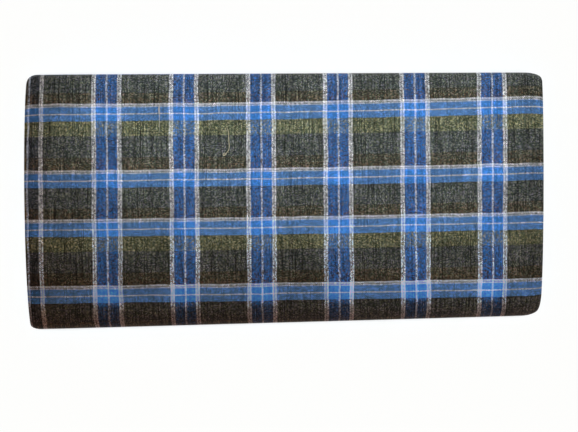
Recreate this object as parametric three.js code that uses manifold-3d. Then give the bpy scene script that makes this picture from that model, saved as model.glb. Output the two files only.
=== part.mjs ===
// A cotton lungi, folded flat into a packet and lying on a surface.
//
// The cloth is one rectangle. Its length is halved and then folded in thirds, which makes a strip of six plies.
// The strip is then halved three times across its width, which stacks it eight times. The last fold is the
// thick round turn along the near edge. The second one is the round nose along the upper half of the far edge,
// and the first one is the small fold at the foot of the far edge, with the selvedges above it.
//
// Millimetres. X runs along the packet, +Y points to its far edge and +Z up. The origin is on the surface
// that the packet lies on, under the middle of it.

import * as THREE from 'three';
import Module from 'manifold-3d';

const wasm = await Module();
wasm.setup();

// The cut of the cloth and how often it is folded
const CUT_LENGTH = 2000;
const CUT_WIDTH = 1270;
const PLIES = 6;
const STRIPS = 8;
const PLY = 0.375; // one layer of cloth with the air that stays in the packet
const GAP = 0.4; // kept between the two solids, before the packet sags

// What the folding gives. The thick turn leaves the packet this much wider than an eighth of the cloth.
const TURN_EXTRA = 2.2;
const PACKET_LENGTH = CUT_LENGTH / PLIES;
const PACKET_WIDTH = CUT_WIDTH / STRIPS + TURN_EXTRA;
const STRIP = PLIES * PLY;
const STACK = STRIPS * STRIP;
const HALF_LENGTH = PACKET_LENGTH / 2;
const HALF_WIDTH = PACKET_WIDTH / 2;
const HALF_STACK = STACK / 2;
const WALL = STRIP - GAP;
const WALL_PLY = WALL / PLIES;

// The near turn: a long, half elliptical nose that takes the whole stack round
const TURN_REACH = 13;
const TURN_Y = TURN_REACH - HALF_WIDTH;
const TURN_EYE = 0.04; // the hollow left at its middle, as a share of the turn

// The far nose: takes the upper half of the stack round, and the strip goes back in under it
const PARTING = GAP / 2; // each leaf stays this far from the plane between them
const NOSE_FLOOR = HALF_STACK + PARTING;
const NOSE_RADIUS = (STACK - NOSE_FLOOR) / 2;
const NOSE_Z = (STACK + NOSE_FLOOR) / 2;
const NOSE_Y = HALF_WIDTH - NOSE_RADIUS;
const INNER_NOSE_RADIUS = NOSE_RADIUS - WALL - GAP;

// The foot fold: takes the bottom strip round, 1 mm short of the nose above it
const FOOT_RADIUS = STRIP - PARTING;
const LOWER_LEAF_SHORT = 1;
const FOOT_Y = HALF_WIDTH - LOWER_LEAF_SHORT - FOOT_RADIUS;

// How far each strip runs back in behind its fold before the hidden layers take over
const TUCK = 13;

// The packet as it lies. The measures are what each edge, end or corner gives way by.
const TAPER = 0.0245; // the left end is wider by this share, the right end is narrower
const ENDS = {
  left: { side: -1, bow: 2.1, slant: 0.2, sag: 0.13, sagLength: 42, lean: 3.4 },
  right: { side: 1, bow: 1.2, slant: 1.6, sag: 0.09, sagLength: 34, lean: 0 },
};
const END_FALLOFF = 6; // power: an end bows, slants and leans at its tip and hardly further in
const CORNERS = [
  { side: -1, edge: 1, length: 7, depth: 5.5, lowerLeaf: 0.3 },
  { side: -1, edge: -1, length: 8, depth: 4.5, lowerLeaf: 1 },
  { side: 1, edge: 1, length: 11, depth: 3.8, lowerLeaf: 0.7 },
  { side: 1, edge: -1, length: 15, depth: 5.8, lowerLeaf: 1 },
];
const CORNER_FALLOFF = 5; // power: a corner is drawn in at the edge and hardly further in
const NEAR_SAG = { share: 0.12, width: 44 };
const FAR_SAG = { share: 0.05, width: 22 };

// The plies of each strip as they show at the two ends, from the outside in. A fold of the cloth shows as a
// round lip. reach is how far the lip stands short of the end of the packet.
const LIPS = {
  outer: {
    left: [{ plies: 4, reach: 0 }, { plies: 2, reach: 1.5 }],
    right: [{ plies: 6, reach: 0 }],
  },
  second: {
    left: [{ plies: 2, reach: 1.9 }, { plies: 4, reach: 0.5 }],
    right: [{ plies: 6, reach: 0.7 }],
  },
  third: {
    left: [{ plies: 4, reach: 0.2 }, { plies: 2, reach: 1.7 }],
    right: [{ plies: 6, reach: 0.3 }],
  },
  innermost: {
    left: [{ plies: 2, reach: 2.1 }, { plies: 4, reach: 0.8 }],
    right: [{ plies: 6, reach: 1.1 }],
  },
};
const SELVEDGE_STAGGER = 0.9; // every other ply of the raw edges stands back by this much

// Where the cloth is measured out along the packet and across it
const END_STEPS = [3, 5.5, 10, 20, 36]; // from either end of the packet, all further in than any lip
const TIP_STEP = 0.3; // share of the way from the end of a lip to the first of them
const WIDTH_STEPS = [58, 44, 24, 0, -24, -44, -56]; // y, from the far edge to the near turn
const TURN_STEPS = 10;
const NOSE_STEPS = 8;
const FOOT_STEPS = 6;
const INNER_NOSE = [75, 50, 25, 0]; // degrees round it, from its tip

const HALF_TURN = Math.PI;
const ramp = (value) => THREE.MathUtils.clamp(value, 0, 1);

// How thick the packet lies at a place, as a share of the full stack
function loft(x, y) {
  let share = 1;
  for (const end of Object.values(ENDS)) {
    share -= end.sag * ramp((end.side * x - HALF_LENGTH + end.sagLength) / end.sagLength) ** 2;
  }
  share -= NEAR_SAG.share * ramp((-y - HALF_WIDTH + NEAR_SAG.width) / NEAR_SAG.width) ** 2;
  share -= FAR_SAG.share * ramp((y - HALF_WIDTH + FAR_SAG.width) / FAR_SAG.width) ** 2;
  return share;
}

// How far a corner draws the long edge in at a place
function cornerPull(x, y, z) {
  let pull = 0;
  for (const corner of CORNERS) {
    if (corner.edge * y <= 0) continue;
    const along = ramp((corner.side * x - HALF_LENGTH + corner.length) / corner.length);
    const depth = corner.depth * (z > HALF_STACK ? 1 : corner.lowerLeaf);
    pull += depth * (1 - Math.sqrt(1 - along * along));
  }
  return pull * Math.abs(y / HALF_WIDTH) ** CORNER_FALLOFF;
}

// Takes a place in the neatly folded stack to where it is in the packet as it lies
function settle(x, y, z) {
  const across = y / HALF_WIDTH;
  const along = x / HALF_LENGTH;
  const end = x < 0 ? ENDS.left : ENDS.right;
  // The lowest layers lean out further than the top ones
  const lean = end.side * end.lean * (1 - z / STACK);
  const bow = end.side * end.bow * across * across;
  const moved = (end.slant * across - bow + lean) * Math.abs(along) ** END_FALLOFF;
  const width = 1 - TAPER * along;
  return new THREE.Vector3(x + moved, (y - Math.sign(y) * cornerPull(x, y, z)) * width, z * loft(x, y));
}

// The places across the stack that a strip goes through. Each gives y and z at a depth below the outside.
const upperFlat = (y) => (depth) => [y, STACK - depth];
const lowerFlat = (y) => (depth) => [y, depth];
const upperTuck = (y) => (depth) => [y, NOSE_FLOOR + depth];
const lowerTuck = (y) => (depth) => [y, 2 * FOOT_RADIUS - depth];

const nearTurn = (angle) => (depth) => {
  const share = Math.max((HALF_STACK - depth) / HALF_STACK, TURN_EYE);
  return [
    TURN_Y - TURN_REACH * share * Math.sin(angle),
    HALF_STACK + HALF_STACK * share * Math.cos(angle),
  ];
};

const farNose = (angle) => (depth) => [
  NOSE_Y + (NOSE_RADIUS - depth) * Math.sin(angle),
  NOSE_Z + (NOSE_RADIUS - depth) * Math.cos(angle),
];

const footFold = (angle) => (depth) => [
  FOOT_Y + (FOOT_RADIUS - depth) * Math.sin(angle),
  FOOT_RADIUS - (FOOT_RADIUS - depth) * Math.cos(angle),
];

// Angles from one value to another, both ends included
function angles(from, to, steps) {
  return Array.from({ length: steps + 1 }, (_, i) => from + ((to - from) * i) / steps);
}

// How far back from the end of the packet the cloth stands at each depth level of a strip
function endProfile(lips, ply) {
  const profile = [];
  for (const lip of lips) {
    const radius = (lip.plies * ply) / 2;
    for (let level = 0; level <= lip.plies; level += 1) {
      const off = Math.abs(level * ply - radius);
      const back = lip.reach + radius - Math.sqrt(radius * radius - off * off);
      if (level === 0 && profile.length) profile.push(Math.max(profile.pop(), back));
      else profile.push(back);
    }
  }
  return profile;
}

// The places along the packet, from a left end to a right end that stand back by the given lengths
function lengthPlaces(leftBack, rightBack) {
  const tip = (back) => back + (END_STEPS[0] - back) * TIP_STEP;
  const fromLeft = [leftBack, tip(leftBack), ...END_STEPS].map((step) => step - HALF_LENGTH);
  const fromRight = [rightBack, tip(rightBack), ...END_STEPS].map((step) => HALF_LENGTH - step);
  return [...fromLeft, 0, ...fromRight.reverse()];
}

// The closed surface of a block of points, which are counted along its three axes
function blockGeometry(counts, pointAt) {
  const positions = [];
  const indices = [];
  const known = new Map();
  const vertex = (cell) => {
    const key = cell.join();
    if (!known.has(key)) {
      known.set(key, positions.length / 3);
      positions.push(...pointAt(...cell).toArray());
    }
    return known.get(key);
  };
  for (let axis = 0; axis < 3; axis += 1) {
    const [u, v] = [(axis + 1) % 3, (axis + 2) % 3];
    for (const last of [false, true]) {
      for (let a = 0; a < counts[u]; a += 1) {
        for (let b = 0; b < counts[v]; b += 1) {
          const corner = (du, dv) => {
            const cell = [0, 0, 0];
            cell[axis] = last ? counts[axis] : 0;
            cell[u] = a + du;
            cell[v] = b + dv;
            return vertex(cell);
          };
          const [p, q, r, s] = [corner(0, 0), corner(1, 0), corner(1, 1), corner(0, 1)];
          if (last) indices.push(p, q, r, p, r, s);
          else indices.push(p, r, q, p, s, r);
        }
      }
    }
  }
  const geometry = new THREE.BufferGeometry();
  geometry.setAttribute('position', new THREE.Float32BufferAttribute(positions, 3));
  geometry.setIndex(indices);
  return geometry;
}

// A strip of the stack. places is its way across the stack, each with the depths of its two faces there. The
// profiles say how far its levels stand back at the two ends. edgeBack staggers the plies at the last place.
function stripGeometry(places, leftProfile, rightProfile, edgeBack = 0) {
  const lengths = leftProfile.map((back, level) => lengthPlaces(back, rightProfile[level]));
  const counts = [places.length - 1, PLIES, lengths[0].length - 1];
  return blockGeometry(counts, (i, level, k) => {
    const { at, top, bottom } = places[i];
    const [y, z] = at(top + ((bottom - top) * level) / PLIES);
    const back = i === counts[0] && level % 2 === 0 ? edgeBack : 0;
    return settle(lengths[level][k], y - back, z);
  });
}

// Ways across the stack, all with their two faces at the same depths
function through(ways, top, bottom) {
  return ways.map((at) => ({ at, top, bottom }));
}

// From the far edge over the top, round the near turn and back along the underside
const ROUND = [
  ...WIDTH_STEPS.map(upperFlat),
  ...angles(0, HALF_TURN, TURN_STEPS).map(nearTurn),
  ...[...WIDTH_STEPS].reverse().map(lowerFlat),
];

// The strip that shows: tucked in at the far nose, all the way round, and tucked in at the foot
function outerStrip() {
  const ways = [
    upperTuck(NOSE_Y - TUCK),
    upperTuck(NOSE_Y - TUCK / 2),
    ...angles(HALF_TURN, 0, NOSE_STEPS).map(farNose),
    ...ROUND,
    ...angles(0, HALF_TURN, FOOT_STEPS).map(footFold),
    lowerTuck(FOOT_Y - TUCK / 2),
    lowerTuck(FOOT_Y - TUCK),
  ];
  const left = endProfile(LIPS.outer.left, WALL_PLY);
  const right = endProfile(LIPS.outer.right, WALL_PLY);
  return stripGeometry(through(ways, 0, WALL), left, right);
}

// The hidden strips, one inside the other. Each shares a face with the next, and they are joined into one solid.
function innerStrips() {
  const [second, third, innermost] = [STRIP, 2 * STRIP, 3 * STRIP]; // the depth that each one starts at
  const noseDepth = STACK - NOSE_Z; // the depth that the inner nose is centred on
  const tuckEnd = NOSE_Y - TUCK - GAP;
  const footEnd = FOOT_Y - TUCK - GAP;
  const overFoot = [footEnd, footEnd + GAP, HALF_WIDTH - LOWER_LEAF_SHORT].map(lowerFlat);

  const nose = INNER_NOSE.map((degrees) => {
    const angle = THREE.MathUtils.degToRad(degrees);
    const half = INNER_NOSE_RADIUS * Math.cos(angle);
    const at = upperFlat(NOSE_Y + INNER_NOSE_RADIUS * Math.sin(angle));
    return { at, upperFace: noseDepth - half, lowerFace: noseDepth + half };
  });
  const overTuck = upperFlat(tuckEnd + GAP);
  const fromTuck = [upperFlat(tuckEnd), ...ROUND];

  const strips = [
    {
      places: [
        ...nose.map(({ at, upperFace }) => ({ at, top: upperFace, bottom: third })),
        ...through([overTuck, ...fromTuck, overFoot[0]], second, third),
      ],
      edgeBack: 0,
    },
    {
      places: [
        ...nose.map(({ at, lowerFace }) => ({ at, top: third, bottom: lowerFace })),
        { at: overTuck, top: third, bottom: noseDepth + INNER_NOSE_RADIUS },
        ...through([...fromTuck, ...overFoot], third, innermost),
      ],
      edgeBack: SELVEDGE_STAGGER,
    },
    {
      places: through([...fromTuck, ...overFoot], innermost, HALF_STACK - PARTING),
      edgeBack: SELVEDGE_STAGGER,
    },
  ];

  const left = endProfile([...LIPS.second.left, ...LIPS.third.left, ...LIPS.innermost.left], PLY);
  const right = endProfile([...LIPS.second.right, ...LIPS.third.right, ...LIPS.innermost.right], PLY);
  const levels = (profile, index) => profile.slice(index * PLIES, (index + 1) * PLIES + 1);
  const solids = strips.map(({ places, edgeBack }, index) => toManifold(
    stripGeometry(places, levels(left, index), levels(right, index), edgeBack),
  ));
  return fromManifold(wasm.Manifold.union(solids));
}

function toManifold(geometry) {
  const mesh = new wasm.Mesh({
    numProp: 3,
    vertProperties: geometry.attributes.position.array,
    triVerts: new Uint32Array(geometry.index.array),
  });
  return wasm.Manifold.ofMesh(mesh);
}

function fromManifold(solid) {
  const { vertProperties, triVerts } = solid.getMesh();
  const geometry = new THREE.BufferGeometry();
  geometry.setAttribute('position', new THREE.BufferAttribute(new Float32Array(vertProperties), 3));
  geometry.setIndex(new THREE.BufferAttribute(new Uint32Array(triVerts), 1));
  return geometry;
}

const group = new THREE.Group();

function addNode(name, geometry, colour) {
  geometry.computeVertexNormals();
  const mesh = new THREE.Mesh(geometry, new THREE.MeshStandardMaterial({ color: colour, roughness: 0.9 }));
  mesh.name = name;
  group.add(mesh);
}

addNode('outer_strip', outerStrip(), 0x5f6f84);
addNode('inner_strips', innerStrips(), 0x48535f);

// The origin goes under the middle of the whole packet
const box = new THREE.Box3().setFromObject(group);
const middle = box.getCenter(new THREE.Vector3());
for (const mesh of group.children) mesh.geometry.translate(-middle.x, -middle.y, -box.min.z);

export default group;
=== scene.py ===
# A checked cotton lungi, folded flat into a packet that lies on a pale floor.
# Sizes are in millimetres until a mesh is made, and the frame's metres after that.

import math

import bpy
import numpy as np
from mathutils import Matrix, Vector, noise


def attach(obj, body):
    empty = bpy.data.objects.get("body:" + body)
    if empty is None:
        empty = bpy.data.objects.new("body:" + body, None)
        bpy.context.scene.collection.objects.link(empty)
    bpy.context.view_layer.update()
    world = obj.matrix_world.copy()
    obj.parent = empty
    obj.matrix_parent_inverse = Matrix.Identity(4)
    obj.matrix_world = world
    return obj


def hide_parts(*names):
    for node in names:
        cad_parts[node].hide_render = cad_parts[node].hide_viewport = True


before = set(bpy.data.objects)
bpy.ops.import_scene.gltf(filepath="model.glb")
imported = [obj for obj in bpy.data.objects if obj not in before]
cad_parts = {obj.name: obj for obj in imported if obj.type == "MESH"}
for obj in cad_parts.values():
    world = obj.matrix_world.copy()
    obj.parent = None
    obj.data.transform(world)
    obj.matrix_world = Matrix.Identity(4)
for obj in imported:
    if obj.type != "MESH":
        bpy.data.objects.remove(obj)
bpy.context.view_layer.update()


# The cloth that shows
#
# One length of yarn-dyed cotton in a plain weave. It is folded in six along its length, and that strip is
# then halved three times across. What shows is the outermost strip: its top panel, the thick turn at the
# near edge, the underside, and the two folds at the far edge. Nothing is sewn.

CUT_LENGTH = 2000
CUT_WIDTH = 1270
PLIES = 6
STRIPS = 8
PLY = 0.375  # one ply with the air that it holds
GAP = 0.4  # between strips that meet

STRIP = PLIES * PLY
STACK = STRIPS * STRIP
HALF_STACK = STACK / 2
HALF_LENGTH = CUT_LENGTH / PLIES / 2
TURN_EXTRA = 2.2  # the thick turn leaves the packet this much wider than an eighth of the cloth
HALF_WIDTH = (CUT_WIDTH / STRIPS + TURN_EXTRA) / 2

# The near turn is half an oval, as high as the stack
TURN_REACH = 13
TURN_Y = TURN_REACH - HALF_WIDTH

# At the far edge the upper half of the stack ends in a rounded nose, and the underside in a smaller foot.
# From each of them the cloth is tucked in between the layers.
PARTING = GAP / 2
NOSE_FLOOR = HALF_STACK + PARTING
NOSE_RADIUS = (STACK - NOSE_FLOOR) / 2
NOSE_Z = (STACK + NOSE_FLOOR) / 2
NOSE_Y = HALF_WIDTH - NOSE_RADIUS
INNER_NOSE_RADIUS = NOSE_RADIUS - STRIP
FOOT_RADIUS = STRIP - PARTING
LOWER_LEAF_SHORT = 1
FOOT_Y = HALF_WIDTH - LOWER_LEAF_SHORT - FOOT_RADIUS
TUCK = 13

# How the packet lies, as its solids do, but for the near corners, which are a little squarer
TAPER = 0.0245
ENDS = {
    "left": {"side": -1, "bow": 2.1, "slant": 0.2, "sag": 0.13, "sag_length": 42},
    "right": {"side": 1, "bow": 1.2, "slant": 1.6, "sag": 0.09, "sag_length": 34},
}
CORNERS = [
    {"side": -1, "edge": 1, "length": 7, "depth": 5.5, "lower_leaf": 0.3},
    {"side": -1, "edge": -1, "length": 7, "depth": 3.4, "lower_leaf": 1},
    {"side": 1, "edge": 1, "length": 11, "depth": 3.8, "lower_leaf": 0.7},
    {"side": 1, "edge": -1, "length": 12, "depth": 4.6, "lower_leaf": 1},
]
CORNER_FALLOFF = 5
END_FALLOFF = 6
LEAN = 3.4  # at the left end, the lowest layers stick out this much further than the top ones
TO_MIDDLE = 1.365  # brings the middle of the packet's box over the frame's origin
NEAR_SAG = {"share": 0.12, "width": 44}
FAR_SAG = {"share": 0.05, "width": 22}

# The cloth isn't quite smooth: long low swells, and shorter ones that the layers below print through it
SWELLS = [{"height": 0.22, "length": 46}, {"height": 0.10, "length": 17}]


def ramp(value):
    return np.clip(value, 0, 1)


def nearness(past, reach):
    """0 up to a reach before an edge, growing to 1 at it. past is how far beyond the edge a place is."""
    return ramp((past + reach) / reach)


def settle(x, y, z):
    """Takes places in the neatly folded stack to where they are in the packet as it lies."""
    x, y, z = (np.array(one, float) for one in np.broadcast_arrays(x, y, z))
    across = y / HALF_WIDTH
    along = x / HALF_LENGTH
    loft = np.ones_like(x)
    drawn = np.zeros_like(x)
    for end in ENDS.values():
        loft -= end["sag"] * nearness(end["side"] * x - HALF_LENGTH, end["sag_length"]) ** 2
        own = end["slant"] * across - end["side"] * end["bow"] * across ** 2
        drawn += np.where(end["side"] * x > 0, own * np.abs(along) ** END_FALLOFF, 0)
    loft -= NEAR_SAG["share"] * nearness(-y - HALF_WIDTH, NEAR_SAG["width"]) ** 2
    loft -= FAR_SAG["share"] * nearness(y - HALF_WIDTH, FAR_SAG["width"]) ** 2
    pull = np.zeros_like(x)
    for corner in CORNERS:
        near_end = nearness(corner["side"] * x - HALF_LENGTH, corner["length"])
        depth = corner["depth"] * np.where(z > HALF_STACK, 1, corner["lower_leaf"])
        pull += np.where(corner["edge"] * y > 0, depth * (1 - np.sqrt(1 - near_end ** 2)), 0)
    pull *= np.abs(across) ** CORNER_FALLOFF
    lean = LEAN * (1 - z / STACK) * ramp(-along) ** END_FALLOFF
    narrowed = (y - np.sign(y) * pull) * (1 - TAPER * along)
    return np.stack([x + drawn - lean + TO_MIDDLE, narrowed, z * loft], axis=-1)


def way_across(y, z, toward_y, toward_z):
    """Places across the stack. The last two say how y and z change with each millimetre of depth."""
    return np.stack(np.broadcast_arrays(y, z, toward_y, toward_z), axis=-1).astype(float)


def upper_flat(y):
    return way_across(np.array(y, float), STACK, 0, -1)


def lower_flat(y):
    return way_across(np.array(y, float), 0, 0, 1)


def near_turn(angle):
    sine, cosine = np.sin(angle), np.cos(angle)
    stretch = TURN_REACH / HALF_STACK
    return way_across(TURN_Y - TURN_REACH * sine, HALF_STACK * (1 + cosine), stretch * sine, -cosine)


def far_nose(angle):
    sine, cosine = np.sin(angle), np.cos(angle)
    return way_across(NOSE_Y + NOSE_RADIUS * sine, NOSE_Z + NOSE_RADIUS * cosine, -sine, -cosine)


def foot_fold(angle):
    sine, cosine = np.sin(angle), np.cos(angle)
    return way_across(FOOT_Y + FOOT_RADIUS * sine, FOOT_RADIUS * (1 - cosine), -sine, cosine)


def tuck_above(y):
    return way_across(np.array(y, float), NOSE_FLOOR, 0, 1)


def tuck_below(y):
    return way_across(np.array(y, float), 2 * FOOT_RADIUS, 0, -1)


def spread(start, stop, step):
    """Evenly spaced numbers from start to stop, about a step apart."""
    return np.linspace(start, stop, max(2, round(abs(stop - start) / step) + 1))


FINE_STEP = 1.9
COARSE_STEP = 7.0
TUCK_STEP = 4
NOSE_POINTS = 15
TURN_POINTS = 26
FOOT_POINTS = 9

# The points on the flats stop this far from the rounds that they run into
CLEAR_OF_TURN = 1.5
CLEAR_OF_FOOT = 3
CLEAR_OF_TUCK = 1

outer_way = np.concatenate([
    tuck_above(spread(NOSE_Y - TUCK, NOSE_Y - CLEAR_OF_TUCK, TUCK_STEP)),
    far_nose(np.linspace(math.pi, 0, NOSE_POINTS)),
    upper_flat(spread(NOSE_Y - CLEAR_OF_TURN, TURN_Y + CLEAR_OF_TURN, FINE_STEP)),
    near_turn(np.linspace(0, math.pi, TURN_POINTS)),
    lower_flat(spread(TURN_Y + COARSE_STEP, FOOT_Y - CLEAR_OF_FOOT, COARSE_STEP)),
    foot_fold(np.linspace(0, math.pi, FOOT_POINTS)),
    tuck_below(spread(FOOT_Y - CLEAR_OF_TUCK, FOOT_Y - TUCK, TUCK_STEP)),
])

# The course of the outer ply along the packet. It comes out of the left end as a fold of four plies, and
# goes back in at the right end as a fold of six. Each row is x and depth on its outside, x and depth on its
# inside, and how far along the cloth it is.
CLOTH = 0.3
LEFT_FOLD = 4 * PLY / 2
RIGHT_FOLD = 6 * PLY / 2
FOLD_SEGMENTS = 8
CLEAR_OF_FOLD = 1.2
BACK_IN = [3, 11]


def fold_course(radius, side):
    """One end of the outer ply, from the panel round the fold and back in."""
    centre = HALF_LENGTH - radius
    inner = radius - CLOTH
    rows = []
    for angle in np.linspace(0, math.pi, FOLD_SEGMENTS + 1):
        out, up = math.sin(angle), math.cos(angle)
        rows.append((side * (centre + radius * out), radius - radius * up,
                     side * (centre + inner * out), radius - inner * up,
                     side * (centre + radius * angle)))
    for back in BACK_IN:
        rows.append((side * (centre - back), 2 * radius, side * (centre - back), 2 * radius - CLOTH,
                     side * (centre + radius * math.pi + back)))
    return rows


panel_start = -HALF_LENGTH + LEFT_FOLD + CLEAR_OF_FOLD
panel_end = HALF_LENGTH - RIGHT_FOLD - CLEAR_OF_FOLD
outer_course = np.array(
    fold_course(LEFT_FOLD, -1)[::-1]
    + [(x, 0, x, CLOTH, x) for x in spread(panel_start, panel_end, FINE_STEP)]
    + fold_course(RIGHT_FOLD, 1)
)


def swell(x, y):
    """The height of the swells at a place of the packet."""
    height = 0
    for one in SWELLS:
        place = Vector((x / one["length"], y / one["length"], one["length"]))
        height += one["height"] * noise.noise(place)
    return height


SKEW = 0.0078  # the threads across lean by this much for each millimetre toward the far edge
LEFT_PULL = 3.0  # the threads across are drawn out by this at the left end
BOW = {"middle": 0.6, "growth": 0.007, "reach": 150}  # the threads along hang toward the near edge by this


def threads_at(x, y, run, start=0, sign=1):
    """Which threads cross at a place: how far along the cloth it is, and how far across."""
    run = run * (1 - TAPER * x / HALF_LENGTH)
    run = run - (BOW["middle"] + BOW["growth"] * y) * (1 - (x / BOW["reach"]) ** 2)
    pulled = x + LEFT_PULL * ramp(-x / HALF_LENGTH) ** END_FALLOFF
    return np.stack(np.broadcast_arrays(pulled - SKEW * y, start + sign * run), axis=-1)


def run_along(way):
    """How far each place of a way is along it, counted from the middle of the top panel."""
    steps = np.hypot(np.diff(way[:, 0]), np.diff(way[:, 1]))
    run = np.concatenate([[0], np.cumsum(steps)])
    top = (way[:, 1] == STACK) & (way[:, 2] == 0)
    return run - np.interp(0, -way[top, 0], run[top])


def block_faces(shape):
    """The outer faces of a block of points, numbered in the order of its three axes."""
    index = np.arange(math.prod(shape)).reshape(shape)
    faces = []
    for axis in range(3):
        for side in (0, -1):
            face = np.take(index, side, axis=axis)
            corners = [face[:-1, :-1], face[1:, :-1], face[1:, 1:], face[:-1, 1:]]
            quads = np.stack(corners, axis=-1).reshape(-1, 4)
            outward = (axis != 1) == (side == -1)
            faces.append(quads if outward else quads[:, ::-1])
    return np.concatenate(faces)


PER_METRE = 1000


def placed(name, data):
    """Makes an object of a mesh, a lamp or a camera, and puts it in the scene."""
    made = bpy.data.objects.new(name, data)
    bpy.context.collection.objects.link(made)
    return made


def cloth_object(name, blocks):
    """Makes one mesh, in metres, from blocks of points, each with the threads that cross at them."""
    all_points, all_faces, all_threads = [], [], []
    count = 0
    for points, threads in blocks:
        used, renumbered = np.unique(block_faces(points.shape[:3]), return_inverse=True)
        all_points.append(points.reshape(-1, 3)[used])
        all_faces.append(renumbered.reshape(-1, 4) + count)
        all_threads.append(threads.reshape(-1, 2)[used])
        count += len(used)
    mesh = bpy.data.meshes.new(name)
    places = np.concatenate(all_points) / PER_METRE
    mesh.from_pydata(places.tolist(), [], np.concatenate(all_faces).tolist())
    crossing = mesh.attributes.new("threads", "FLOAT_VECTOR", "POINT")
    numbers = np.column_stack([np.concatenate(all_threads), np.zeros(count)])
    crossing.data.foreach_set("vector", numbers.ravel())
    mesh.shade_smooth()
    return placed(name, mesh)


def outer_block():
    """The outer ply as a block one cloth thick: across the stack, through the cloth, along the packet."""
    way, course = outer_way[:, None, None, :], outer_course[None, None, :, :]
    x = np.concatenate([course[..., 0], course[..., 2]], axis=1)
    depth = np.concatenate([course[..., 1], course[..., 3]], axis=1)
    points = settle(x, way[..., 0] + way[..., 2] * depth, way[..., 1] + way[..., 3] * depth)
    for place in points.reshape(-1, 3):
        place[2] += (place[2] / STACK) ** 2 * swell(place[0], place[1])
    threads = threads_at(course[..., 4], way[..., 0], run_along(outer_way)[:, None, None])
    return points, np.broadcast_to(threads, points.shape[:3] + (2,))


outer_cloth = cloth_object("outer_cloth", [outer_block()])

# What the yarns give the eye. The yarns are dull, short-fibred cotton with thick and thin places, which
# speckle and streak the dark ground.
YARNS = {
    "white": "#E8EAF0",
    "pale": "#D4DEF4",
    "silver": "#A0A2A4",
    "charcoal": "#52574F",
    "grey": "#535B5D",
    "umber": "#534F40",
    "brown": "#554B38",
    "olive": "#7E8561",
    "clear_blue": "#539AEE",
    "deep_blue": "#2A70C4",
    "navy": "#30343E",
}
ACROSS_PITCH = 0.397  # between the threads that run from edge to edge, counted along the packet
ALONG_PITCH = 0.4019  # between the threads that run along the packet, counted across it

# The order of the threads, as a weaver sets it up: how many of each colour, for one repeat
ACROSS_ORDER = [
    ("white", 3), ("silver", 1), ("white", 3), ("deep_blue", 16), ("pale", 3), ("deep_blue", 15),
    ("white", 3), ("silver", 1), ("white", 3), ("charcoal", 76),
]
BAND = [("white", 3), ("silver", 1), ("pale", 2), ("clear_blue", 10), ("white", 2), ("clear_blue", 10)]
ALONG_ORDER = (
    BAND + [("olive", 24), ("grey", 34), ("umber", 11), ("brown", 9)]
    + BAND + [("grey", 33), ("umber", 8), ("brown", 9)]
)

# Where a repeat starts on the top panel, from the middle of the packet
ACROSS_START = -23.9
ALONG_START = -62.75

# At the left fold the yarns across have other colours: from, to, colour. The brown, over the fold's rounded
# side and where it turns under, is painted shade; the navy takes the place of the stripe's second blue
# half.
FOLD_YARNS_AND_SHADE = [(-174.0, -162.4, "brown"), (-161.2, -155.2, "navy")]

# The threads wander by up to a quarter of a millimetre over some centimetres
WANDER_SCALE = 0.05
WANDER = (1.1, 1.1, 0)

# The overs and unders of the weave are too fine to show, so they are drawn this far apart. At each, SHOWS
# is how much of the yarn across shows, and UNEVEN how much more or less of it, from dark yarns to light.
WEAVE = 0.66
SHOWS = {"To Min": 0.34, "To Max": 0.66}
UNEVEN = {"To Min": 0.42, "To Max": 0.17}
LIGHT_YARNS = {"From Min": 0.2, "From Max": 0.6}  # by how much red or blue they give

# Painted light and painted shade, by the distance over the top and round the turn from the middle of the
# panel
# Painted light: the light yarns are made brighter over this band, toward the near edge
PAINTED_LIGHT_BAND = {"from": 0, "full": 60, "fading": 67, "to": 70}
PAINTED_LIGHT_GAIN = {"blue": (1.9, 1.95, 2.0, 1), "white": (1.35, 1.75, 2.15, 1)}
# Painted shade: the near turn is darker and warmer over this band
PAINTED_SHADE_BAND = {"from": 70, "full": 78, "fading": 96, "to": 106}
PAINTED_SHADE = (0.70, 0.53, 0.49, 1)
# Painted shade on the blue yarns across round the near turn, then a darkening of them toward the far edge
BLUE_TURN_SHADE = {"From Min": 66, "From Max": 69}
DARKER_FAR = {"From Min": -72, "From Max": -46, "To Min": 0.42, "To Max": 0}
DARKER_SHARE = 1.1

# Flecks, most on the dark yarns, then thick and thin places along each yarn, and patches of better dye
FLECKED = {"From Min": 0.08, "From Max": 0.45, "To Min": 1, "To Max": 0.35}
FLECK_SHADE = {"To Min": 0.40, "To Max": 2.10}
FLECK_TINT = {"least": (0.83, 0.87, 0.80), "range": (0.34, 0.26, 0.40)}
EDGE_STREAKS = {"reach": 26, "thin": -0.4, "thick": 2.4}
LONG_STREAKS = {"reach": 19, "thin": 0.4, "thick": 1.6}
STREAKS_APART = 1.37  # the step in the noise from yarn to yarn, which keeps each one's streaks its own
PATCH_SCALE = 0.03
PATCH_SHADE = {"To Min": 0.7, "To Max": 1.3}
UNCHANGED = (1, 1, 1, 1)
FUZZ_HEIGHT = 0.0001
YARN_DYED_FINISH = {
    "Roughness": 0.9,
    "IOR": 1.45,
    "Specular IOR Level": 0.25,
    "Sheen Weight": 0.1,
    "Sheen Roughness": 0.5,
}


def linear(colour):
    """An sRGB hex colour as the linear red, green, blue and alpha that a shader takes."""
    parts = [int(colour[i:i + 2], 16) / 255 for i in (1, 3, 5)]
    return [p / 12.92 if p <= 0.04045 else ((p + 0.055) / 1.055) ** 2.4 for p in parts] + [1]


def new_material(name, finish):
    """Makes a material with numbers set on its own shader, and gives it, its nodes and that shader."""
    material = bpy.data.materials.new(name)
    material.use_nodes = True
    shader = material.node_tree.nodes["Principled BSDF"]
    for socket, value in finish.items():
        shader.inputs[socket].default_value = value
    return material, material.node_tree, shader


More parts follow.
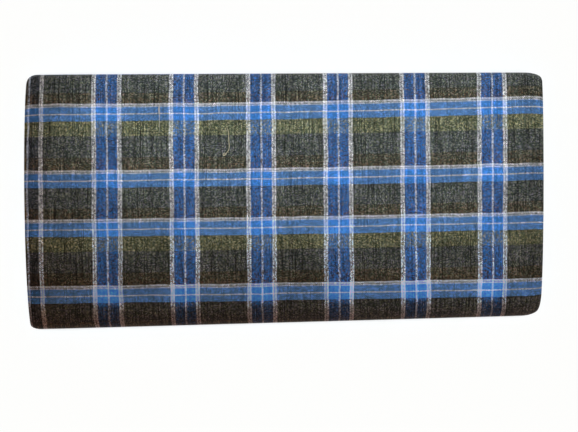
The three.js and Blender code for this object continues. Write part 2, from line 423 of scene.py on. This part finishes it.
def add(tree, kind, inputs, out=0, stops=(), **settings):
    """Adds a node with its settings and ramp stops, sets or links its inputs, and gives one output."""
    made = tree.nodes.new("ShaderNode" + kind)
    for name, value in settings.items():
        setattr(made, name, value)
    if stops:
        elements = made.color_ramp.elements
        made.color_ramp.interpolation = "CONSTANT"
        for place, colour in stops[2:]:
            elements.new(place)
        for element, (place, colour) in zip(elements, stops):
            element.position = place
            element.color = colour
    for socket, value in inputs.items():
        if isinstance(value, bpy.types.NodeSocket):
            tree.links.new(value, made.inputs[socket])
        else:
            made.inputs[socket].default_value = value
    return made.outputs[out]


BEFORE_THREAD = 0.25


def order_stops(order):
    """The stops of a colour ramp that holds one repeat of the threads, from 0 to 1.

    The renderer keeps a ramp as a table of 256 colours, which is little more than one for each thread. So
    that each thread finds its own colour, the stops are set a little before the threads.
    """
    total = sum(count for colour, count in order)
    stops, done = [], 0
    for colour, count in order:
        stops.append((max(0, done - BEFORE_THREAD) / total, linear(YARNS[colour])))
        done += count
    return stops


def count_off(tree, place, start, step):
    """Counts a place off in steps: the number of the step that it is in."""
    shifted = add(tree, "Math", {0: place, 1: start}, operation="SUBTRACT")
    counted = add(tree, "Math", {0: shifted, 1: step}, operation="DIVIDE")
    return add(tree, "Math", {0: counted}, operation="FLOOR")


def yarn_colour(tree, place, start, pitch, order):
    """The colour of the thread at a place, for one set of parallel threads."""
    number = count_off(tree, place, start, pitch)
    middle = add(tree, "Math", {0: number, 1: 0.5}, operation="ADD")
    share = add(tree, "Math", {0: middle, 1: sum(count for colour, count in order)}, operation="DIVIDE")
    repeat = add(tree, "Math", {0: share}, operation="FRACT")
    return add(tree, "ValToRGB", {"Fac": repeat}, stops=order_stops(order))


def streaks(tree, number, run, look):
    """The shade of the thick and thin places along each yarn: noise that is drawn out along it."""
    slow = add(tree, "Math", {0: run, 1: 1 / look["reach"]}, operation="MULTIPLY")
    apart = add(tree, "Math", {0: number, 1: STREAKS_APART}, operation="MULTIPLY")
    place = add(tree, "CombineXYZ", {0: apart, 1: slow})
    thickness = add(tree, "TexNoise", {"Vector": place, "Scale": 1.0, "Detail": 2}, noise_dimensions="2D")
    return add(tree, "MapRange", {"Value": thickness, "To Min": look["thin"], "To Max": look["thick"]},
               clamp=False)


def painted_band(tree, place, part):
    """1 in one part of the way across the cloth, fading to 0 before it and past it."""
    onto = add(tree, "MapRange", {"Value": place, "From Min": part["from"], "From Max": part["full"]})
    off = add(tree, "MapRange", {"Value": place, "From Min": part["fading"], "From Max": part["to"],
                                 "To Min": 1, "To Max": 0})
    return add(tree, "Math", {0: onto, 1: off}, operation="MULTIPLY")


def checked_cotton(name):
    """Yarn-dyed plain-weave cotton: dull and a little fuzzy, with a faint sheen at glancing angles."""
    material, tree, shader = new_material(name, YARN_DYED_FINISH)

    # The thread numbers that the mesh carries, and the colours of the two threads there
    threads = add(tree, "Attribute", {}, out="Vector", attribute_name="threads", attribute_type="GEOMETRY")
    drift = add(tree, "TexNoise", {"Vector": threads, "Scale": WANDER_SCALE, "Detail": 2}, out="Color",
                noise_dimensions="2D")
    centred = add(tree, "VectorMath", {0: drift, 1: (0.5, 0.5, 0.5)}, operation="SUBTRACT")
    drifted = add(tree, "VectorMath", {0: centred, 1: WANDER, 2: threads}, operation="MULTIPLY_ADD")
    along = add(tree, "SeparateXYZ", {"Vector": drifted}, out="X")
    across = add(tree, "SeparateXYZ", {"Vector": drifted}, out="Y")
    edge_colour = yarn_colour(tree, along, ACROSS_START, ACROSS_PITCH, ACROSS_ORDER)
    long_colour = yarn_colour(tree, across, ALONG_START, ALONG_PITCH, ALONG_ORDER)
    # The brown mixed in here is painted shade on the left fold's rounded side
    for start, end, other in FOLD_YARNS_AND_SHADE:
        after = add(tree, "Math", {0: along, 1: start}, operation="GREATER_THAN")
        before = add(tree, "Math", {0: along, 1: end}, operation="LESS_THAN")
        within = add(tree, "Math", {0: after, 1: before}, operation="MULTIPLY")
        edge_colour = add(tree, "Mix", {0: within, 6: edge_colour, 7: linear(YARNS[other])}, out=2,
                          data_type="RGBA")

    # Painted shade: round the near turn the blue yarns across are darker. They are a little darker toward
    # the far edge too
    edge_blue = add(tree, "SeparateColor", {"Color": edge_colour}, out="Blue")
    edge_red = add(tree, "SeparateColor", {"Color": edge_colour}, out="Red")
    blueness = add(tree, "Math", {0: edge_blue, 1: edge_red}, operation="SUBTRACT", use_clamp=True)
    painted_blue_shade_band = add(tree, "MapRange", {"Value": across, **BLUE_TURN_SHADE})
    toward_far = add(tree, "MapRange", {"Value": across, **DARKER_FAR})
    both_bands = add(tree, "Math", {0: painted_blue_shade_band, 1: toward_far}, operation="ADD")
    blue_there = add(tree, "Math", {0: blueness, 1: both_bands}, operation="MULTIPLY")
    blue_darkening = add(tree, "MapRange", {"Value": blue_there, "To Min": 1, "To Max": 1 - DARKER_SHARE},
                     clamp=False)
    edge_colour = add(tree, "VectorMath", {0: edge_colour, "Scale": blue_darkening}, operation="SCALE")

    # Plain weave: at each crossing more of one yarn shows, and at the next one beside it more of the other
    edge_cell = count_off(tree, along, 0, WEAVE)
    long_cell = count_off(tree, across, 0, WEAVE)
    both = add(tree, "Math", {0: edge_cell, 1: long_cell}, operation="ADD")
    halved = add(tree, "Math", {0: both, 1: 0.5}, operation="MULTIPLY")
    half_if_odd = add(tree, "Math", {0: halved}, operation="FRACT")
    shows = add(tree, "MapRange", {"Value": half_if_odd, "From Max": 0.5, **SHOWS})
    crossing = add(tree, "CombineXYZ", {0: edge_cell, 1: long_cell})
    fleck = add(tree, "TexWhiteNoise", {"Vector": crossing}, noise_dimensions="2D")
    fleck_tint = add(tree, "TexWhiteNoise", {"Vector": crossing}, out="Color", noise_dimensions="2D")
    fleck_green = add(tree, "SeparateColor", {"Color": fleck_tint}, out="Green")
    either_way = add(tree, "MapRange", {"Value": fleck_green, "To Min": -1, "To Max": 1})
    long_blue = add(tree, "SeparateColor", {"Color": long_colour}, out="Blue")
    unevenness = add(tree, "MapRange", {"Value": long_blue, **LIGHT_YARNS, **UNEVEN})
    uneven = add(tree, "Math", {0: either_way, 1: unevenness}, operation="MULTIPLY")
    edge_share = add(tree, "Math", {0: shows, 1: uneven}, operation="ADD", use_clamp=True)
    yarn = add(tree, "Mix", {0: edge_share, 6: long_colour, 7: edge_colour}, out=2, data_type="RGBA")

    # Painted light: the light yarns are brighter toward the near edge. Painted shade makes the turn there
    # darker and warmer
    blue_part = add(tree, "SeparateColor", {"Color": yarn}, out="Blue")
    red_part = add(tree, "SeparateColor", {"Color": yarn}, out="Red")
    is_white = add(tree, "MapRange", {"Value": red_part, **LIGHT_YARNS})
    own_painted_light = add(tree, "Mix", {0: is_white, 6: PAINTED_LIGHT_GAIN["blue"], 7: PAINTED_LIGHT_GAIN["white"]}, out=2,
                   data_type="RGBA")
    is_light = add(tree, "MapRange", {"Value": blue_part, **LIGHT_YARNS})
    painted_light_there = add(tree, "Math", {0: is_light, 1: painted_band(tree, across, PAINTED_LIGHT_BAND)}, operation="MULTIPLY")
    painted_light = add(tree, "Mix", {0: painted_light_there, 6: UNCHANGED, 7: own_painted_light}, out=2, data_type="RGBA")
    painted_turn_shade = add(tree, "Mix", {0: painted_band(tree, across, PAINTED_SHADE_BAND), 6: UNCHANGED, 7: PAINTED_SHADE}, out=2,
               data_type="RGBA")
    with_painted_light = add(tree, "VectorMath", {0: yarn, 1: painted_light}, operation="MULTIPLY")
    painted_light_and_shade = add(tree, "VectorMath", {0: with_painted_light, 1: painted_turn_shade}, operation="MULTIPLY")

    # Where the yarns are flecked, each crossing has its own shade and a little of its own tint
    flecked = add(tree, "MapRange", {"Value": blue_part, **FLECKED})
    own_tint = add(tree, "VectorMath", {0: fleck_tint, 1: FLECK_TINT["range"], 2: FLECK_TINT["least"]},
                   operation="MULTIPLY_ADD")
    tint = add(tree, "Mix", {0: flecked, 6: UNCHANGED, 7: own_tint}, out=2, data_type="RGBA")
    squared = add(tree, "Math", {0: fleck, 1: fleck}, operation="MULTIPLY")
    own_shade = add(tree, "MapRange", {"Value": squared, **FLECK_SHADE})
    speckle = add(tree, "Mix", {0: flecked, 2: 1.0, 3: own_shade})

    # The streaks of both yarns at a place, and the patch of dye that it is in
    edge_streak = streaks(tree, edge_cell, across, EDGE_STREAKS)
    long_streak = streaks(tree, long_cell, along, LONG_STREAKS)
    both_streaks = add(tree, "Math", {0: edge_streak, 1: long_streak}, operation="MULTIPLY")
    streaked = add(tree, "Mix", {0: flecked, 2: 1.0, 3: both_streaks})
    patch = add(tree, "TexNoise", {"Vector": threads, "Scale": PATCH_SCALE, "Detail": 3},
                noise_dimensions="2D")
    dye = add(tree, "MapRange", {"Value": patch, **PATCH_SHADE}, clamp=False)
    grain = add(tree, "Math", {0: speckle, 1: streaked}, operation="MULTIPLY")
    shade = add(tree, "Math", {0: grain, 1: dye}, operation="MULTIPLY")
    tinted = add(tree, "VectorMath", {0: painted_light_and_shade, 1: tint}, operation="MULTIPLY")
    colour = add(tree, "VectorMath", {0: tinted, "Scale": shade}, operation="SCALE")
    tree.links.new(colour, shader.inputs["Base Color"])
    bump = add(tree, "Bump", {"Height": shade, "Strength": 0.4, "Distance": FUZZ_HEIGHT}, out="Normal")
    tree.links.new(bump, shader.inputs["Normal"])
    return material


cotton = checked_cotton("yarn_dyed_cotton")
outer_cloth.data.materials.append(cotton)
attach(outer_cloth, "root")
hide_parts("outer_strip")


# Faults in the cloth
#
# Two small faults of hand-loom cotton, both of undyed yarn: a slub with a knot in it, where a yarn was
# pieced, and an end of loose thread that lies on the top panel. The weave holds them both.

# Points that each strand runs through, and its radius there: x, y, radius
SLUB = [
    (-77.0, 62.1, 0.06), (-77.4, 59.6, 0.40), (-77.5, 57.7, 0.62), (-77.4, 55.8, 0.45),
    (-77.4, 53.8, 0.20), (-77.4, 48.7, 0.16), (-77.5, 43.0, 0.05),
]
LOOSE_THREAD = [
    (-34.6, 46.7, 0.05), (-33.5, 43.5, 0.16), (-33.3, 39.7, 0.20), (-33.2, 36.5, 0.20),
    (-33.0, 33.9, 0.20), (-33.5, 31.4, 0.20), (-34.9, 29.5, 0.22), (-36.0, 28.0, 0.22),
    (-36.9, 28.0, 0.22), (-37.0, 28.9, 0.20), (-36.0, 29.5, 0.18), (-35.2, 29.1, 0.06),
]
STRAND_SIDES = 8
BETWEEN_POINTS = 6
UNDYED_FINISH = {"Roughness": 0.95, "Sheen Weight": 0.15}
TUFTS_PER_METRE = 2500  # tufts of fibre 0.4 mm long


def top_height(x, y):
    """The height of the top panel at a place of the packet."""
    flat_x = x - TO_MIDDLE
    flat_y = y / (1 - TAPER * flat_x / HALF_LENGTH)
    return settle(flat_x, flat_y, STACK)[2] + swell(x, y)


def smooth_course(control, places):
    """Places on a smooth course through some points. Place 1.5 is halfway from point 1 to point 2."""
    tangent = np.gradient(control, axis=0)
    here = np.minimum(places.astype(int), len(control) - 2)
    t = (places - here)[:, None]
    from_here = (2 * t ** 3 - 3 * t ** 2 + 1) * control[here] + (t ** 3 - 2 * t ** 2 + t) * tangent[here]
    to_next = (3 * t ** 2 - 2 * t ** 3) * control[here + 1] + (t ** 3 - t ** 2) * tangent[here + 1]
    return from_here + to_next


def strand_object(name, points, material):
    """Makes a soft round strand that lies on the top panel, a third sunk in."""
    points = np.array(points)
    last = len(points) - 1
    places = np.linspace(0, last, last * BETWEEN_POINTS + 1)
    flat_points = np.column_stack([points[:, :2], np.zeros(len(points))])
    middle = smooth_course(flat_points, places)
    radius = np.interp(places, np.arange(len(points)), points[:, 2])
    middle[:, 2] = [top_height(x, y) + r / 3 for (x, y, z), r in zip(middle, radius)]
    way = np.gradient(middle, axis=0)
    way /= np.linalg.norm(way, axis=1, keepdims=True)
    side = np.cross(way, (0, 0, 1))
    side /= np.linalg.norm(side, axis=1, keepdims=True)
    up = np.cross(side, way)
    angle = np.arange(STRAND_SIDES) / STRAND_SIDES * 2 * math.pi
    outward = side[:, None] * np.cos(angle)[:, None] + up[:, None] * np.sin(angle)[:, None]
    rings = middle[:, None] + radius[:, None, None] * outward
    index = np.arange(len(middle) * STRAND_SIDES).reshape(-1, STRAND_SIDES)
    turned = np.roll(index, -1, axis=1)
    quads = np.stack([index[:-1], turned[:-1], turned[1:], index[1:]], axis=-1).reshape(-1, 4)
    faces = quads.tolist() + [index[0][::-1].tolist(), index[-1].tolist()]
    mesh = bpy.data.meshes.new(name)
    mesh.from_pydata((rings.reshape(-1, 3) / PER_METRE).tolist(), [], faces)
    mesh.shade_smooth()
    mesh.materials.append(material)
    made = placed(name, mesh)
    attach(made, "root")
    return made


def undyed_cotton(name, pale, dull):
    """Undyed spun cotton: soft and matt, its fibres lighter and duller by turns along the twist."""
    material, tree, shader = new_material(name, UNDYED_FINISH)
    place = add(tree, "TexCoord", {}, out="Object")
    fibres = add(tree, "TexNoise", {"Vector": place, "Scale": TUFTS_PER_METRE, "Detail": 2})
    colour = add(tree, "Mix", {0: fibres, 6: linear(pale), 7: linear(dull)}, out=2, data_type="RGBA")
    tree.links.new(colour, shader.inputs["Base Color"])
    bump = add(tree, "Bump", {"Height": fibres, "Strength": 0.5, "Distance": FUZZ_HEIGHT}, out="Normal")
    tree.links.new(bump, shader.inputs["Normal"])
    return material


grey_cotton = undyed_cotton("undyed_grey_cotton", "#D4D2CA", "#7E7A72")
slub = strand_object("slub", SLUB, grey_cotton)
cream_cotton = undyed_cotton("undyed_cream_cotton", "#E6DDBE", "#A39A7A")
loose_thread = strand_object("loose_thread", LOOSE_THREAD, cream_cotton)


# The layers folded inside
#
# The other seven strips, each of six plies of the same cloth, and the two loose plies of the outermost
# strip. Only their ends show: soft folds of four or six plies, cut ends between them, and the selvedges at
# the far edge.

# left and right are the folds and loose plies at each end of a strip, from its outer face in: how many
# plies, and how far back they stand. sign and start say which way the threads along it are counted, and
# from where, which is a whole number of strip widths across the cloth.
HIDDEN = {
    "outer": {"sign": 1, "start": 0, "seed": 0, "left": [(2, 1.5)], "right": [(2, 3.0)]},
    "second": {"sign": -1, "start": 476, "seed": 10, "left": [(2, 1.9), (4, 0.5)], "right": [(6, 0.7)]},
    "third": {"sign": 1, "start": 635, "seed": 20, "left": [(4, 0.2), (2, 1.7)], "right": [(6, 0.3)]},
    "innermost": {"sign": -1, "start": -159, "seed": 30,
                  "left": [(2, 2.1), (4, 0.8)], "right": [(6, 1.1)]},
}
PLY_STEPS = [0, 0.14, 0.5, 0.86]  # where a ply is measured through its thickness
NOTCH = [0.5, 0.1, 0, 0.1]  # how far the rounded edge of a loose ply stands back there
END_WAVE = {"height": 0.45, "length": 21, "left": 0, "right": 5}
SELVEDGE = {"back": 0.9, "wave": 1.3, "length": 55, "apart": 3.7}
LIP_LENGTH = 4.5
BEYOND_LIP = 13
INNER_STEP = 9


def lip_profile(lips):
    """How far each level of a strip stands back from the end: rounds for folds, notches for loose plies."""
    back = []
    for plies, reach in lips:
        radius = plies * PLY / 2
        for ply in range(plies):
            for step, notch in zip(PLY_STEPS, NOTCH):
                off = (ply + step) * PLY - radius
                round_back = radius - math.sqrt(radius * radius - off * off)
                back.append(reach + (round_back if plies > 2 else notch))
    return np.array(back + [back[0]])


def end_wave(run, side, seed):
    """How far an end of a strip wanders at each place of its way across."""
    places = [Vector((r / END_WAVE["length"], END_WAVE[side], seed)) for r in run]
    return np.array([END_WAVE["height"] * noise.noise(place) for place in places])[:, None]


def hidden_block(way, depths, strip, selvedges=False):
    """One hidden strip. depths holds the depth of its two faces at each place of its way across."""
    left, right = lip_profile(strip["left"]), lip_profile(strip["right"])
    levels = len(left)
    share = np.linspace(0, 1, levels)
    through = depths[:, None, 0] + (depths[:, None, 1] - depths[:, None, 0]) * share
    y = way[:, None, 0] + way[:, None, 2] * through
    z = way[:, None, 1] + way[:, None, 3] * through
    run = run_along(way)
    inner_x = spread(-HALF_LENGTH + BEYOND_LIP, HALF_LENGTH - BEYOND_LIP, INNER_STEP)
    inner_x = [-HALF_LENGTH + LIP_LENGTH, *inner_x, HALF_LENGTH - LIP_LENGTH]
    columns = [-HALF_LENGTH + left[None, :] + end_wave(run, "left", strip["seed"])]
    columns += [np.full(y.shape, x) for x in inner_x]
    columns += [HALF_LENGTH - right[None, :] + end_wave(run, "right", strip["seed"])]
    x = np.stack(columns, axis=-1)
    y = np.repeat(y[..., None], x.shape[-1], axis=-1)
    z = np.repeat(z[..., None], x.shape[-1], axis=-1)
    if selvedges:
        for level in range(levels):
            ply, notch = level // len(PLY_STEPS), NOTCH[level % len(PLY_STEPS)]
            for k in range(x.shape[-1]):
                along = x[-1, level, k] / SELVEDGE["length"]
                wave = noise.noise(Vector((along, ply * SELVEDGE["apart"], strip["seed"])))
                y[-1, level, k] -= notch + SELVEDGE["back"] + SELVEDGE["wave"] * wave
    threads = threads_at(x, y, run[:, None, None], strip["start"], strip["sign"])
    return settle(x, y, z), threads


UPPER_STEP = 5
LOWER_STEP = 8
HIDDEN_TURN_POINTS = 17


def round_way(top_start):
    """The way of a hidden strip over the top from a place on it, round the near turn, and underneath."""
    return np.concatenate([
        upper_flat(spread(top_start, TURN_Y + CLEAR_OF_TURN, UPPER_STEP)),
        near_turn(np.linspace(0, math.pi, HIDDEN_TURN_POINTS)),
        lower_flat(spread(TURN_Y + UPPER_STEP, FOOT_Y - TUCK - CLEAR_OF_FOOT, LOWER_STEP)),
    ])


def even(way, top, bottom):
    """The depths of a strip that is evenly thick all along its way."""
    return np.tile([top, bottom], (len(way), 1)).astype(float)


tuck_end = NOSE_Y - TUCK - GAP
foot_end = FOOT_Y - TUCK - GAP
over_tuck = upper_flat([tuck_end + GAP])
over_foot = lower_flat([foot_end, foot_end + GAP, 70, 74, HALF_WIDTH - LOWER_LEAF_SHORT])

# Inside the nose the second strip fills the upper half of the round, and the third the lower half
nose_turns = np.radians([80, 65, 45, 22, 0])
in_nose = slice(len(nose_turns))
nose_part = upper_flat(NOSE_Y + INNER_NOSE_RADIUS * np.sin(nose_turns))
nose_half = INNER_NOSE_RADIUS * np.cos(nose_turns)
nose_depth = STACK - NOSE_Z

# The two loose plies lie between the fold of four and the strip's inner face, clear of both
loose_depths = even(outer_way, 4 * PLY + 0.02, STRIP - 0.1)
second_way = np.concatenate([nose_part, over_tuck, round_way(tuck_end), lower_flat([foot_end])])
second_depths = even(second_way, STRIP, 2 * STRIP)
second_depths[in_nose, 0] = nose_depth - nose_half
third_way = np.concatenate([nose_part, over_tuck, round_way(tuck_end), over_foot])
third_depths = even(third_way, 2 * STRIP, 3 * STRIP)
third_depths[in_nose, 1] = nose_depth + nose_half
third_depths[len(nose_turns), 1] = nose_depth + INNER_NOSE_RADIUS
innermost_way = np.concatenate([round_way(tuck_end), over_foot])
innermost_depths = even(innermost_way, 3 * STRIP, HALF_STACK - PARTING)

inner_plies = cloth_object("inner_plies", [
    hidden_block(outer_way, loose_depths, HIDDEN["outer"]),
    hidden_block(second_way, second_depths, HIDDEN["second"]),
    hidden_block(third_way, third_depths, HIDDEN["third"], selvedges=True),
    hidden_block(innermost_way, innermost_depths, HIDDEN["innermost"], selvedges=True),
])
inner_plies.data.materials.append(cotton)
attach(inner_plies, "root")
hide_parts("inner_strips")


# The floor
#
# A plain pale board that the packet lies on, which isn't part of the lungi. It is painted matt with a
# roller, which leaves its white very slightly uneven.

FLOOR_HALF = 15.0
FLOOR_BELOW = 0.0004  # so that the underside and the board don't share a plane
PAINT_FINISH = {"Roughness": 0.9}

floor_mesh = bpy.data.meshes.new("floor")
floor_corners = [(x * FLOOR_HALF, y * FLOOR_HALF, 0) for x, y in ((-1, -1), (1, -1), (1, 1), (-1, 1))]
floor_mesh.from_pydata(floor_corners, [], [(0, 1, 2, 3)])
floor = placed("floor", floor_mesh)
floor.location.z = -FLOOR_BELOW
matt_paint, paint_tree, paint_shader = new_material("matt_white_paint", PAINT_FINISH)
rolled = add(paint_tree, "TexNoise", {"Scale": 9.0, "Detail": 4})
paint = add(paint_tree, "Mix", {0: rolled, 6: linear("#F2F2F0"), 7: linear("#F7F7F6")}, out=2,
            data_type="RGBA")
paint_tree.links.new(paint, paint_shader.inputs["Base Color"])
floor_mesh.materials.append(matt_paint)


# The light
#
# A soft-edged lamp beyond the far edge makes a pool of cool light, weaker toward the near edge, where a
# small one overhead helps it on the right. A warm lamp high above and the room's own warm light fill in
# what they leave, and another lamp keeps the floor evenly pale.

world = bpy.data.worlds.new("warm_room")
bpy.context.scene.world = world
world.use_nodes = True
world.node_tree.nodes["Background"].inputs["Color"].default_value = (0.0965, 0.049, 0.026, 1)
world.node_tree.nodes["Background"].inputs["Strength"].default_value = 1.0


def add_lamp(name, kind, lit, place, aim, energy, colour, **settings):
    """Adds a lamp at a place, aimed at another, that only lights the given pieces and isn't seen itself."""
    lamp = bpy.data.lights.new(name, kind)
    lamp.energy = energy
    lamp.color = colour
    for setting, value in settings.items():
        setattr(lamp, setting, value)
    made = placed(name, lamp)
    made.location = place
    made.rotation_euler = (Vector(aim) - Vector(place)).to_track_quat("-Z", "Y").to_euler()
    made.visible_camera = False
    made.light_linking.receiver_collection = bpy.data.collections.new(name + "_lights")
    for piece in lit:
        made.light_linking.receiver_collection.objects.link(piece)


cloth_pieces = [outer_cloth, inner_plies, slub, loose_thread]
add_lamp("cloth_lamp", "AREA", cloth_pieces, place=(0.0324, 0.333, 0.508), aim=(0.0264, 0.172, 0),
         energy=0.42, colour=(0.75, 0.86, 0.90), shape="RECTANGLE", size=0.345, size_y=0.395,
         spread=math.radians(19.36))
add_lamp("near_lamp", "AREA", cloth_pieces, place=(0.115, -0.05, 0.40), aim=(0.115, -0.05, 0),
         energy=0.0055, colour=(0.86, 0.93, 1.0), size=0.12, spread=math.radians(40))
add_lamp("room_lamp", "AREA", cloth_pieces, place=(0, 0, 1.2), aim=(0, 0, 0),
         energy=1.33, colour=(1, 0.506, 0.27), size=0.6)
add_lamp("floor_lamp", "SUN", [floor], place=(0, 0, 1.4), aim=(0, 0, 0),
         energy=3.34, colour=(0.933, 0.978, 1), angle=math.radians(30))
bpy.context.scene.view_settings.view_transform = "Standard"


# The camera
#
# It looks straight down, as the photograph does. The packet is turned a little in the picture, with its
# right end up.

CAMERA_PLACE = (0.0044, -0.0114)
CAMERA_ABOVE = 0.590  # from the top of the packet
CAMERA_TURN = -0.93
SEEN_WIDTH = 0.3693  # how much of the top of the packet's level the picture is wide
SENSOR = 36

camera = bpy.data.cameras.new("camera")
camera.sensor_width = SENSOR
camera.lens = SENSOR * CAMERA_ABOVE / SEEN_WIDTH
camera_object = placed("camera", camera)
camera_object.location = (*CAMERA_PLACE, STACK / PER_METRE + CAMERA_ABOVE)
camera_object.rotation_euler = (0, 0, math.radians(CAMERA_TURN))
bpy.context.scene.camera = camera_object
